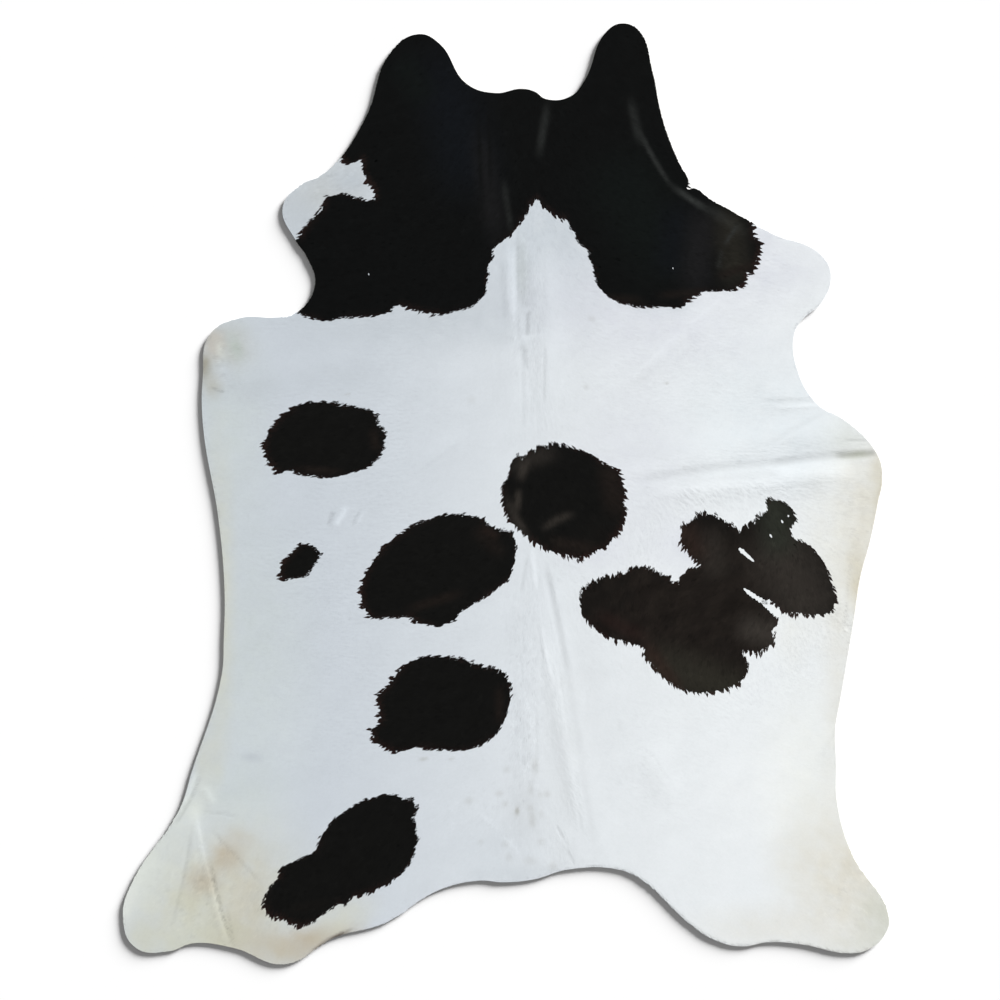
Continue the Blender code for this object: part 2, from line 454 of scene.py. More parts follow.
def hairFlow(points):
    # the way the tips point, as unit vectors: back along the spine and out over the flanks
    aside = points[:, 0] - hairLie["spineX"]
    towardsNeck = smoothStep(*hairLie["neckFrom"], points[:, 1])
    towardsHind = smoothStep(*hairLie["hindFrom"], points[:, 1])
    lean = hairLie["flankLean"] * (1 - towardsNeck - towardsHind)
    lean += hairLie["neckLean"] * towardsNeck + hairLie["hindLean"] * towardsHind
    turn = np.radians(lean) * np.tanh(aside / hairLie["spread"])
    turn += np.radians(hairLie["whorlTurn"]) * softSpot(points, *hairLie["whorl"])
    turn += np.radians(hairLie["wander"]) * waves(points, hairLie["wanderLength"], 11, 2)
    return np.column_stack([np.sin(turn), -np.cos(turn)])


# the pattern of the coat

darkPatches = {
    # the corners of each patch's outline, as its hair tips draw it
    "shoulders": (
        (-517, 417), (-491, 424), (-428, 402), (-388, 412), (-285, 419), (-255, 442), (-190, 424),
        (-150, 419), (-82, 438), (-49, 466), (-42, 534), (-30, 555), (-30, 573), (9, 604), (51, 658),
        (56, 676), (73, 688), (87, 669), (129, 644), (143, 644), (150, 622), (166, 606), (168, 585),
        (192, 573), (192, 552), (204, 536), (215, 484), (248, 454), (309, 438), (417, 435), (428, 454),
        (463, 473), (536, 477), (564, 498), (559, 515), (580, 519), (601, 585), (583, 601), (578, 636),
        (594, 805), (360, 1156), (-248, 1156), (-412, 852), (-386, 784), (-370, 770), (-339, 784),
        (-337, 749), (-309, 709), (-309, 690), (-337, 688), (-379, 704), (-421, 697), (-433, 667),
        (-461, 636), (-484, 601), (-510, 587), (-494, 454)),
    "left flank, upper": (
        (-459, 216), (-407, 216), (-377, 204), (-358, 207), (-312, 195), (-283, 143), (-280, 126),
        (-299, 82), (-328, 60), (-407, 36), (-484, 46), (-503, 55), (-534, 49), (-564, 82), (-569, 117),
        (-559, 143), (-534, 178), (-494, 208)),
    "left flank, small": (
        (-482, -117), (-453, -120), (-433, -138), (-447, -167), (-471, -193), (-520, -201),
        (-534, -186), (-524, -162), (-502, -136)),
    "left of the spine": (
        (-159, -51), (-119, -44), (-63, -53), (-37, -73), (14, -89), (23, -105), (21, -157), (9, -197),
        (-28, -227), (-100, -271), (-120, -295), (-159, -312), (-202, -304), (-229, -286), (-316, -292),
        (-337, -264), (-342, -227), (-332, -187), (-311, -152), (-281, -117), (-225, -75)),
    "on the spine": (
        (117, 122), (201, 94), (225, 73), (257, 61), (271, 42), (278, 19), (281, 2), (276, -14),
        (283, -42), (274, -75), (239, -124), (173, -150), (105, -136), (68, -115), (9, -66), (-9, -23),
        (-9, 21), (5, 42), (9, 68), (19, 87), (44, 91), (68, 108)),
    "left loin": (
        (-199, -381), (-152, -377), (-94, -388), (-66, -402), (-23, -407), (2, -421), (12, -468),
        (2, -517), (-23, -562), (-54, -585), (-94, -599), (-129, -601), (-206, -592), (-257, -604),
        (-309, -583), (-316, -550), (-295, -534), (-302, -473), (-281, -452), (-257, -417),
        (-229, -393)),
    "left thigh": (
        (-290, -702), (-257, -704), (-218, -718), (-208, -735), (-215, -749), (-206, -810),
        (-222, -856), (-241, -882), (-276, -913), (-344, -941), (-358, -941), (-379, -962),
        (-395, -959), (-454, -1002), (-482, -1011), (-508, -1004), (-529, -990), (-550, -990),
        (-569, -964), (-566, -943), (-555, -917), (-534, -901), (-531, -875), (-447, -835),
        (-433, -798), (-405, -760), (-339, -716), (-318, -714)),
    "right flank": (
        (172, -243), (182, -220), (212, -200), (228, -190), (275, -186), (292, -176), (305, -166),
        (322, -166), (362, -183), (406, -210), (406, -196), (419, -186), (429, -173), (459, -169),
        (439, -150), (426, -133), (409, -109), (412, -89), (409, -74), (426, -66), (448, -46),
        (489, -47), (511, -57), (531, -73), (543, -77), (551, -85), (557, -74), (574, -61), (599, -46),
        (611, -40), (611, -30), (609, -20), (627, -12), (647, -16), (668, -30), (676, -47), (682, -60),
        (675, -73), (667, -77), (668, -89), (672, -102), (701, -114), (724, -130), (741, -152),
        (755, -181), (767, -215), (774, -248), (764, -280), (720, -285), (690, -280), (660, -277),
        (644, -270), (629, -258), (614, -246), (605, -250), (618, -270), (631, -285), (638, -297),
        (634, -311), (622, -318), (634, -332), (629, -349), (592, -370), (555, -367), (571, -398),
        (557, -433), (534, -449), (503, -461), (456, -466), (428, -463), (370, -431), (321, -374),
        (328, -360), (243, -337), (215, -318), (180, -288)),
}


def patchDepth(points):
    # how far inside a dark patch a place lies, in metres, negative on the light coat
    # the outlines are those of the tips, which point away from the spine
    side = np.clip((points[:, 0] - hairLie["spineX"]) / hairLie["spread"], -1.0, 1.0)
    points = points + np.outer(side, (hairLie["tipReach"], 0.0))
    depths = [borderDepth(points, border) for border in darkPatches.values()]
    return np.max(depths, axis=0) + hairLie["borderCover"]


coatTones = {
    "lightLeftShaded": "#c4cbd2",       # white hair with a cool grey cast, painted darker than on the right as shade from a light at the right
    "lightRight": "#e6eaec",
    # painted shade on the light hair, about the shoulders and beside the dark patches
    "shade": "#c6cdd3",
    "shadeRight": "#d6d9e0",
    "dove": "#b9c0c6",
    "cloud": "#bdc2c4",
    "pearl": "#dce3e7",
    "pebble": "#c6cacd",
    "chalk": "#dadee0",
    "milk": "#e9ece8",
    "snow": "#f2f4f3",
    "mist": "#c4cccd",
    "ash": "#c0c5c3",             # greyish soiling
    "pewter": "#b4b5ae",
    "cream": "#c9cbbf",           # yellowish, as hair keeps it from the pasture
    "paleCream": "#d3d8d2",
    "tan": "#b6ad9b",
    "putty": "#bcb8b0",
    "fawn": "#9e9b8e",
    "sage": "#aebab2",
    "wheat": "#c1c0ad",
    "freckle": "#9b9a92",
    "straw": "#bdb9ab",
    "oat": "#c6c8ba",
    "ivory": "#dcdad0",
    "paleIvory": "#e3e4df",
    "sand": "#d1ccba",
    "olive": "#bfc2b2",
    "neckDark": "#090a0a",        # near-black hair
    "patchDark": "#0e0e0d",
    "darkWarm": "#1c1815",        # browner hair of the right flank patch
    "darkTip": "#33201d",         # sun-reddened tips at the borders
    "darkRim": "#1c1412",
    "blueSheen": "#0c0f13",
    "tealSheen": "#0c100f",
    "slateSheen": "#171718",
    "oliveSheen": "#292b25",
    "chestnut": "#2d211c",
    "greySheen": "#2e302f",
    "brownSheen": "#34302c",
    "umber": "#1c1714",
    "bronze": "#2a2822",
}

washes = {
    # soft changes of the light hair's tone: stains and soiling, and painted shade where the shade and
    # shadeRight tones darken it about the shoulders, in the armpit and beside the dark patches: tone,
    # x, y, width, height, turn, strength
    "shoulders": ("shade", 70, 590, 900, 640, 0, 1),
    "withers": ("dove", -30, 450, 460, 260, 0, 0.3),
    "below the left shoulder": ("dove", -260, 405, 900, 220, 0, 0.5),
    "above the flank patch, left": ("dove", -390, 265, 420, 150, 0, 0.3),
    "right of the withers": ("shade", 190, 480, 280, 220, 0, 0.5),
    "spine, upper hollow": ("mist", 38, 520, 50, 220, 0, 0.7),
    "spine, right slope": ("pearl", 92, 520, 90, 240, 0, 0.35),
    "rump": ("shade", -30, -840, 340, 260, 0, 0.35),
    "spine, foot": ("pebble", 42, -740, 150, 250, 0, 0.35),
    "right of the spine, lower": ("chalk", 150, -560, 280, 760, 0, 0.5),
    "right flank, upper": ("pearl", 600, 180, 700, 600, 0, 0.65),
    "right shoulder": ("shadeRight", 320, 420, 900, 380, -10, 0.75),
    "right armpit": ("shadeRight", 600, 520, 460, 270, 0, 0.75),
    "under the right shoulder": ("shade", 370, 440, 230, 90, 0, 0.4),
    "right flank, outer": ("pearl", 700, 110, 200, 340, 0, 0.45),
    "beside the spine patch": ("shadeRight", 300, 60, 420, 700, 0, 0.5),
    "above the flank patch": ("shadeRight", 200, -130, 240, 160, 0, 0.6),
    "between the flank lobes": ("shadeRight", 430, -120, 250, 200, 0, 0.75),
    "left cheek": ("cloud", -420, 700, 360, 260, 30, 1),
    "left cheek, inner": ("dove", -365, 735, 150, 100, 0, 0.9),
    "left cheek, edge": ("dove", -475, 635, 170, 200, 30, 0.7),
    "left flank": ("mist", -600, -420, 440, 1150, 0, 0.8),
    "left flank, lower": ("pearl", -540, -540, 360, 420, 0, 0.14),
    "left edge, upper": ("mist", -650, 170, 300, 800, 0, 0.85),
    "left edge, greenish": ("ash", -690, -200, 90, 1300, 0, 0.35),
    "left edge, warm": ("cream", -668, -260, 100, 1100, 0, 0.75),
    "left flank, hind edge": ("cream", -700, -640, 110, 280, 0, 0.65),
    "left corner": ("pewter", -655, 345, 190, 180, 0, 0.65),
    "below the left corner": ("dove", -610, 250, 280, 140, 0, 0.5),
    "left corner, foot": ("pewter", -690, 262, 90, 120, 0, 0.8),
    "left corner, brown": ("putty", -686, 352, 95, 120, 0, 0.9),
    "left corner, streak": ("paleCream", -668, 335, 34, 90, 20, 0.45),
    "left corner, green": ("sage", -633, 345, 50, 110, 20, 0.55),
    "left corner, rim": ("fawn", -704, 300, 44, 100, 0, 0.95),
    "left corner, pale": ("lightLeftShaded", -660, 288, 70, 90, 0, 0.5),
    "left flank, smudge": ("dove", -594, -616, 80, 34, -8, 0.9),
    "left flank, second smudge": ("cream", -672, -655, 40, 90, 0, 0.6),
    "left thigh, top": ("mist", -630, -700, 300, 240, 0, 0.8),
    "left thigh, yellowish": ("paleCream", -590, -775, 330, 260, 0, 0.25),
    "left hind leg": ("cream", -690, -960, 760, 560, 0, 1),
    "left hind leg, inner": ("straw", -610, -960, 230, 420, -8, 0.62),
    "left hind leg, rim": ("paleCream", -862, -880, 230, 380, -32, 1),
    "left hind leg, tip": ("milk", -905, -960, 120, 260, -20, 0.35),
    "left hind leg, upper rim": ("paleCream", -745, -740, 150, 260, -32, 0.8),
    "left hind foot": ("oat", -735, -1050, 330, 140, 0, 0.75),
    "left hind foot, tip": ("oat", -850, -1040, 120, 130, 0, 0.62),
    "left hind foot, heel": ("wheat", -646, -1032, 200, 110, 0, 0.8),
    "left hind leg, ridge foot": ("wheat", -739, -957, 130, 120, 0, 0.5),
    "left hind leg, tan": ("tan", -655, -847, 120, 120, -20, 0.85),
    "left hind leg, tan, upper": ("tan", -625, -806, 130, 80, -20, 0.35),
    "left hind leg, tan, lower": ("tan", -708, -903, 140, 120, 20, 0.75),
    "left hind leg, hem": ("straw", -530, -1065, 330, 150, -8, 0.95),
    "left hind leg, hem, tan": ("tan", -440, -1040, 280, 100, 14, 0.95),
    "left hem, inner": ("straw", -400, -1035, 200, 90, 20, 0.7),
    "beside the thigh patch": ("cream", -380, -985, 240, 130, 22, 0.7),
    "right belly, inner": ("paleIvory", 780, -150, 280, 640, 5, 0.95),
    "right flank, lower": ("milk", 700, -660, 300, 680, 0, 0.7),
    "right flank, hind": ("snow", 640, -700, 460, 480, 0, 0.28),
    "right belly": ("ivory", 852, -95, 200, 660, 8, 1),
    "right belly, upper": ("paleCream", 795, 135, 180, 180, 0, 0.45),
    "right belly, rim": ("paleIvory", 838, 48, 70, 60, 0, 0.8),
    "right belly, by the patch": ("paleIvory", 670, -320, 170, 260, 0, 0.45),
    "right shoulder tip": ("shadeRight", 600, 600, 130, 100, 0, 0.7),
    "right belly, yellow": ("sand", 822, -205, 80, 260, 6, 0.9),
    "right belly, warm": ("sand", 876, 20, 80, 320, 4, 0.8),
    "right belly fold": ("olive", 820, 92, 120, 34, 3, 0.8),
    "right edge, lower": ("ivory", 785, -430, 150, 900, 0, 0.45),
    "right edge, waist": ("ivory", 790, -520, 110, 300, 0, 0.25),
    "right hind leg": ("ivory", 800, -900, 460, 620, 10, 0.95),
    "right hind foot": ("cream", 880, -985, 190, 260, 0, 0.7),
    "right hock, yellow": ("sand", 822, -862, 110, 90, 40, 0.4),
    "right hind leg, hem": ("ivory", 610, -1015, 520, 170, 0, 0.45),
    "right hind foot, hem": ("oat", 830, -1060, 260, 110, 0, 0.25),
    # painted shade: the light hair darkens along the hind edge
    "hind hem": ("dove", 60, -893, 440, 80, 0, 0.3),
    "hind hem, browned edge": ("darkTip", -396, -1034, 112, 15, 24, 0.85),
    "hind hem, browned foot": ("darkTip", -436, -1058, 76, 13, 31, 0.6),
    "right hock, inner": ("sand", 670, -860, 200, 200, 0, 0.1),
}

freckles = (
    # small darker tufts in the light hair: x, y, width, height, strength
    (-16, -701, 30, 22, 0.31),
    (-2, -725, 24, 22, 0.31),
    (26, -742, 19, 32, 0.72),
    (57, -735, 27, 27, 0.31),
    (62, -754, 27, 35, 0.25),
    (62, -770, 30, 30, 0.28),
    (82, -750, 24, 24, 0.19),
    (96, -702, 30, 24, 0.28),
    (80, -704, 19, 22, 0.22),
    (68, -636, 30, 68, 0.25),
    (58, -690, 24, 46, 0.19),
    (-87, -718, 35, 30, 0.25),
    (2, -646, 27, 24, 0.22),
    (-59, -814, 24, 22, 0.19),
    (-2, -819, 30, 22, 0.22),
    (7, -850, 30, 30, 0.22),
    (56, -857, 54, 27, 0.22),
    (82, -814, 30, 24, 0.22),
    (110, -872, 35, 35, 0.25),
    (201, 410, 27, 22, 0.25),
    (187, 250, 22, 22, 0.22),
    (-194, -620, 34, 14, 0.5),
    (-127, -619, 20, 12, 0.4),
    (-370, 233, 14, 11, 0.4),
    (376, 259, 14, 10, 0.7),
    (-80, 220, 35, 30, 0.15),
)

roughPlaces = {
    # where the hair lies less evenly, so that tufts differ more in brightness:
    # x, y, width, height, turn, amount
    "left hind leg": (-680, -930, 500, 400, 0, 1.0),
    "left corner": (-650, 320, 220, 260, 0, 1.0),
    "left edge": (-690, -60, 130, 900, 0, 0.5),
    "left cheek": (-400, 730, 260, 260, 0, 1.0),
    "right belly": (830, -100, 220, 620, 8, 0.9),
    "right hind leg": (800, -930, 320, 360, 0, 0.7),
    "spine, upper": (50, 430, 130, 700, 0, 1.1),
    "spine, lower": (45, -500, 150, 760, 0, 1.3),
    "rump": (-50, -740, 420, 330, 0, 0.5),
}

sheens = {
    # where the dark hair catches the light, or turns brown: tone, start, end, bow, width, strength
    "left of the neck": ("blueSheen", (-173, 1109), (-61, 629), 0, 260, 1),
    "left of the neck, grey": ("slateSheen", (-70, 894), (-14, 543), 0, 90, 0.8),
    "left of the neck, parting": ("neckDark", (-68, 931), (-54, 636), 0, 14, 0.9),
    "left of the neck, second parting": ("neckDark", (-42, 950), (-35, 674), 0, 12, 0.9),
    "left neck flap": ("tealSheen", (-267, 1039), (-173, 899), 0, 130, 0.8),
    "middle of the neck": ("greySheen", (100, 930), (74, 775), 0, 32, 0.5),
    "by the point of the shoulders": ("greySheen", (-9, 750), (16, 595), 0, 22, 0.45),
    "right of the neck": ("tealSheen", (211, 852), (440, 454), -6, 320, 1),
    "right shoulder, sheen": ("blueSheen", (407, 711), (384, 477), 0, 150, 0.8),
    "right shoulder, grey": ("slateSheen", (468, 711), (435, 431), 0, 130, 1),
    "right neck fold, top": ("greySheen", (290, 941), (321, 800), -3, 34, 0.5),
    "right neck fold": ("greySheen", (304, 870), (400, 702), -6, 17, 0.95),
    "right neck fold, foot": ("greySheen", (379, 730), (491, 655), -4, 26, 0.9),
    "right neck fold, end": ("greySheen", (463, 676), (571, 599), 0, 40, 0.6),
    "right shoulder": ("bronze", (515, 700), (543, 454), 0, 130, 0.65),
    "right shoulder, streak": ("greySheen", (546, 638), (506, 574), 0, 13, 0.9),
    "right shoulder, second streak": ("greySheen", (506, 578), (494, 520), 0, 12, 0.7),
    "right shoulder, lower rim": ("umber", (192, 461), (337, 454), 0, 34, 0.6),
    "right shoulder, hem": ("umber", (337, 461), (487, 477), 0, 34, 0.6),
    "right shoulder, point": ("umber", (482, 505), (599, 543), 0, 34, 0.9),
    "right shoulder, hollow": ("neckDark", (491, 594), (482, 489), 0, 24, 0.5),
    "right flank patch, outer lobe": ("brownSheen", (590, -50), (760, -350), 0, 270, 0.7),
    "right flank patch, nub": ("brownSheen", (520, -300), (690, -350), 0, 110, 0.95),
    "right flank patch, middle": ("brownSheen", (470, -60), (500, -220), 0, 110, 0.4),
    "right flank patch, lower lobe": ("bronze", (280, -370), (620, -490), 0, 170, 0.95),
    "right flank patch, upper lobe": ("chestnut", (390, -30), (460, -180), 0, 110, 0.55),
    "right flank patch, knob": ("oliveSheen", (615, 30), (650, -170), 0, 140, 1),
    "right flank patch, lower left rim": ("chestnut", (310, -330), (420, -480), 0, 60, 0.7),
    "right flank patch, left rim": ("darkTip", (190, -270), (350, -350), 0, 60, 0.25),
    "patch on the spine, top left": ("brownSheen", (-14, 56), (138, 108), 0, 70, 0.45),
    "patch on the spine, lower left": ("brownSheen", (-7, 14), (70, -136), -6, 40, 0.55),
    "patch on the spine, right": ("umber", (234, 98), (262, -70), 0, 90, 0.9),
    "patch on the spine, foot": ("umber", (80, -108), (229, -131), 0, 50, 0.9),
    "patch on the spine, streak": ("brownSheen", (46, 88), (28, 24), 4, 36, 0.75),
    "patch on the spine, streak below": ("brownSheen", (30, 18), (26, -48), 0, 30, 0.8),
    "patch on the spine, bend": ("brownSheen", (76, -90), (170, -42), 6, 28, 0.75),
    "patch on the spine, small bend": ("brownSheen", (16, -52), (50, -86), 0, 18, 0.5),
    "patch left of the spine, right": ("umber", (-84, -70), (5, -154), 0, 60, 0.6),
    "patch left of the spine, tip": ("chestnut", (-66, -70), (-9, -108), 0, 36, 0.35),
    "patch left of the spine, foot": ("umber", (-248, -276), (-84, -225), 0, 40, 0.8),
    "left loin patch, right": ("umber", (-14, -435), (-14, -552), 0, 40, 0.8),
    "left flank patch, right": ("umber", (-314, 161), (-300, 91), 0, 36, 0.8),
    "left flank patch, foot": ("umber", (-505, 61), (-365, 51), 0, 30, 0.7),
    "left thigh patch, foot": ("umber", (-529, -978), (-388, -950), 0, 40, 0.2),
}


def roughness(points):
    total = np.zeros(len(points))
    for x, y, width, height, turn, amount in roughPlaces.values():
        total = np.maximum(total, softSpot(points, x, y, width, height, turn) * amount)
    return total


hairTone = {
    "paintedLightAcross": (-550 * mm, 600 * mm),    # painted light: the light hair darkens from the right flank to the left one, as shade from a light at the right
    "lightUneven": 0.015,                  # share of brightness either way
    "lightLength": 110 * mm,
    "washUneven": 0.2,
    "washLength": 60 * mm,
    "neckFrom": (240 * mm, 420 * mm),      # the dark hair of the neck is blacker
    "warmSpot": (480, -260, 900, 620, 0),  # browner dark hair: x, y, width, height, turn
    "warmth": 1.6,
    "warmUneven": 0.4,
    "warmLength": 90 * mm,
    "darkUneven": 0.08,
    "darkWarmUneven": 0.16,                # more of it where the dark hair is browner
    "darkLength": 60 * mm,
    "sheenRunOut": 0.35,
}


def blend(below, above, amount):
    return below * (1 - amount) + above * amount


def coatColour(points):
    # the light and the dark hair's colour at each place
    tone = {name: hexToLinear(code) for name, code in coatTones.items()}
    # painted light: the light hair shades from the right flank towards the left one
    across = smoothStep(*hairTone["paintedLightAcross"], points[:, 0])[:, None]
    light = blend(tone["lightLeftShaded"], tone["lightRight"], across)
    uneven = 1 + hairTone["washUneven"] * waves(points, hairTone["washLength"], 21)
    for kind, x, y, width, height, turn, strength in washes.values():
        amount = softSpot(points, x, y, width, height, turn) * strength
        light = blend(light, tone[kind], np.clip(amount * uneven, 0.0, 1.0)[:, None])
    for x, y, width, height, strength in freckles:
        amount = softSpot(points, x, y, width, height, 0) * strength
        light = blend(light, tone["freckle"], amount[:, None])
    uneven = 1 + hairTone["lightUneven"] * waves(points, hairTone["lightLength"], 5, 4)
    # the creases' painted shade and painted highlight
    light = light * uneven[:, None] * creaseShadeAndHighlight(points)

    uneven = 1 + hairTone["warmUneven"] * waves(points, hairTone["warmLength"], 6)
    warm = softSpot(points, *hairTone["warmSpot"]) * hairTone["warmth"]
    warm = np.clip(warm * uneven, 0.0, 1.0)[:, None]
    neck = smoothStep(*hairTone["neckFrom"], points[:, 1])[:, None]
    dark = blend(blend(tone["patchDark"], tone["neckDark"], neck), tone["darkWarm"], warm)
    uneven = hairTone["darkUneven"] + hairTone["darkWarmUneven"] * warm
    dark = dark * (1 + uneven * waves(points, hairTone["darkLength"], 9, 4)[:, None])
    for kind, start, end, bow, width, strength in sheens.values():
        amount = softLine(points, start, end, bow, width, hairTone["sheenRunOut"]) * strength
        dark = blend(dark, tone[kind], amount[:, None])
    return light, dark


# the coat: the nap of short hair that covers the skin

coat = {
    "cell": 5.75 * mm,         # side of its triangles
    "jitter": 0.08,            # share of a side that its points stray either way
    "edgeStep": 5.0 * mm,
    "nap": 4.2 * mm,           # how high the lying hair stands over the skin
    "napAtEdge": 3.7 * mm,
    "rollOff": 5 * mm,         # the nap thins over this distance towards the cut edge
    "creasesFrom": 12 * mm,    # creases reach their full height this far in
    "foldLight": 0.2,          # share of the folds' slope that the hair shows: fur evens out light
    "foldSpan": 12 * mm,       # the slope is measured this far either side
    "creaseLight": 0.6,
    "creaseSpan": 2.5 * mm,
}


def napHeight(depth):
    share = np.sqrt(np.clip(depth / coat["rollOff"], 0.0, 1.0))
    return coat["napAtEdge"] + (coat["nap"] - coat["napAtEdge"]) * share


def coatTop(points, depth):
    inner = smoothStep(0.0, coat["creasesFrom"], depth)
    return skinTop(points) + napHeight(depth) + creaseHeight(points) * inner


def slope(surface, points, span):
    # how steeply a surface rises towards +X and +Y
    sides = np.eye(2) * span
    rises = [surface(points + side) - surface(points - side) for side in sides]
    return np.column_stack(rises) / (2 * span)


def coatNormals(points):
    # which way the coat faces for the light
    fold = slope(skinTop, points, coat["foldSpan"])
    crease = slope(creaseHeight, points, coat["creaseSpan"])
    lean = -coat["foldLight"] * fold - coat["creaseLight"] * crease
    return np.column_stack([lean, np.ones(len(points))])


hairFinish = {
    "tuftScale": 180.0,        # tufts of 5.6 mm; single hairs of 0.06 mm are far too fine to show
    "tuftTone": (0.985, 1.015),
    "raggedScale": 120.0,      # tufts of 8.3 mm along the borders of the dark patches
    "ragged": (-6.5, 1.5),     # mm that a border moves, outwards if positive
    "borderBlur": 0.6,         # mm either way
    "roughness": 0.75,
    "ior": 1.55,               # keratin
    "specular": 0.04,          # hairs side by side leave little of their gloss
}


def makeLyingHair(name, patched):
    # Short cow hair, lying flat: each hair is a smooth, slightly glossy horn fibre, so the coat
    # looks soft, with a weak broad sheen and no single highlights.
    material, tree, shader = newMaterial(name)
    light = addNode(tree, "ShaderNodeAttribute", {"attribute_name": "lightHair"})
    place = addNode(tree, "ShaderNodeTexCoord")
    tufts = addNode(tree, "ShaderNodeTexNoise",
                    {"Scale": hairFinish["tuftScale"], "Detail": 3.0, "Roughness": 0.6},
                    {"Vector": place.outputs["Object"]})
    low, high = hairFinish["tuftTone"]
    shade = addNode(tree, "ShaderNodeMapRange",
                    {"From Min": 0.3, "From Max": 0.7, "To Min": low, "To Max": high},
                    {"Value": tufts.outputs["Fac"]})
    colour = light.outputs["Color"]
    if patched:
        dark = addNode(tree, "ShaderNodeAttribute", {"attribute_name": "darkHair"})
        depth = addNode(tree, "ShaderNodeAttribute", {"attribute_name": "patchDepth"})
        ragged = addNode(tree, "ShaderNodeTexNoise",
                         {"Scale": hairFinish["raggedScale"], "Detail": 2.0},
                         {"Vector": place.outputs["Object"]})
        low, high = hairFinish["ragged"]
        push = addNode(tree, "ShaderNodeMapRange", {"To Min": low, "To Max": high},
                       {"Value": ragged.outputs["Fac"]})
        total = addNode(tree, "ShaderNodeMath", {"operation": "ADD"},
                        {0: depth.outputs["Fac"], 1: push.outputs["Result"]})
        blur = hairFinish["borderBlur"]
        step = addNode(tree, "ShaderNodeMapRange", {"From Min": -blur, "From Max": blur},
                       {"Value": total.outputs["Value"]})
        # inputs 0, 6 and 7 of a colour mix are its factor and its two colours
        mix = addNode(tree, "ShaderNodeMix", {"data_type": "RGBA"})
        tree.links.new(step.outputs["Result"], mix.inputs[0])
        tree.links.new(light.outputs["Color"], mix.inputs[6])
        tree.links.new(dark.outputs["Color"], mix.inputs[7])
        colour = mix.outputs[2]
    scaled = addNode(tree, "ShaderNodeVectorMath", {"operation": "SCALE"},
                     {0: colour, "Scale": shade.outputs["Result"]})
    tree.links.new(scaled.outputs["Vector"], shader.inputs["Base Color"])
    shader.inputs["Roughness"].default_value = hairFinish["roughness"]
    shader.inputs["IOR"].default_value = hairFinish["ior"]
    shader.inputs["Specular IOR Level"].default_value = hairFinish["specular"]
    return material


def ringSteps(ring, step):
    # the ring with extra places, so that no gap is longer than a step
    places = []
    for a, b in zip(ring, np.roll(ring, -1, axis=0)):
        count = max(1, math.ceil(np.hypot(*(b - a)) / step))
        for i in range(count):
            places.append(a + (b - a) * i / count)
    return np.array(places)


def coatPlan(ring):
    # even triangles over the hide, seen from above, and which of their corners lie on the ring
    cell = coat["cell"]
    low = ring.min(axis=0)
    high = ring.max(axis=0)
    columns = np.arange(low[0], high[0], cell)
    rows = np.arange(low[1], high[1], cell * 0.866)      # the height of an even triangle
    gridX, gridY = np.meshgrid(columns, rows)
    gridX = gridX + (np.arange(len(rows)) % 2)[:, None] * cell / 2
    draw = np.random.default_rng(3)
    points = np.column_stack([gridX.ravel(), gridY.ravel()])
    points = points + draw.uniform(-coat["jitter"], coat["jitter"], points.shape) * cell
    points = points[skin.depth(points) > 0.45 * cell]      # none too close to the ring
    count = len(ring)
    corners = [Vector(place) for place in np.vstack([ring, points])]
    edges = [(i, (i + 1) % count) for i in range(count)]
    result = delaunay_2d_cdt(corners, edges, [], 1, 1e-7)
    places = np.array([tuple(place) for place in result[0]])
    faces = np.array([face for face in result[2] if len(face) == 3])
    a, b, c = (places[faces[:, i]] for i in range(3))
    turned = (b[:, 0] - a[:, 0]) * (c[:, 1] - a[:, 1]) < (b[:, 1] - a[:, 1]) * (c[:, 0] - a[:, 0])
    faces[turned] = faces[turned][:, ::-1]
    rim = np.empty(count, int)
    for made, origins in enumerate(result[3]):
        for origin in origins:
            if origin < count:
                rim[origin] = made
    return places, faces, rim


coatMap = {
    # the coat's own map: the top in one piece, the rim in upright lanes in its empty right part
    "margin": 0.01,
    "laneLeft": 0.84,
    "laneWidth": 0.012,
    "lanePitch": 0.025,
    "laneLength": 0.95,
}


def rimLanes(lengths, span):
    # map places of the rim's faces, two for each length of the ring
    travelled = np.concatenate([[0.0], np.cumsum(lengths)[:-1]])
    laneLength = coatMap["laneLength"] * span
    lane = np.floor(travelled / laneLength)
    upper = coatMap["margin"] + (travelled - lane * laneLength) / span
    lower = upper + lengths / span
    left = coatMap["laneLeft"] + coatMap["lanePitch"] * lane
    right = left + coatMap["laneWidth"]
    corners = [(left, upper), (right, upper), (right, lower),
               (left, upper), (right, lower), (left, lower)]
    return np.array(corners).transpose(2, 0, 1).reshape(-1, 2)


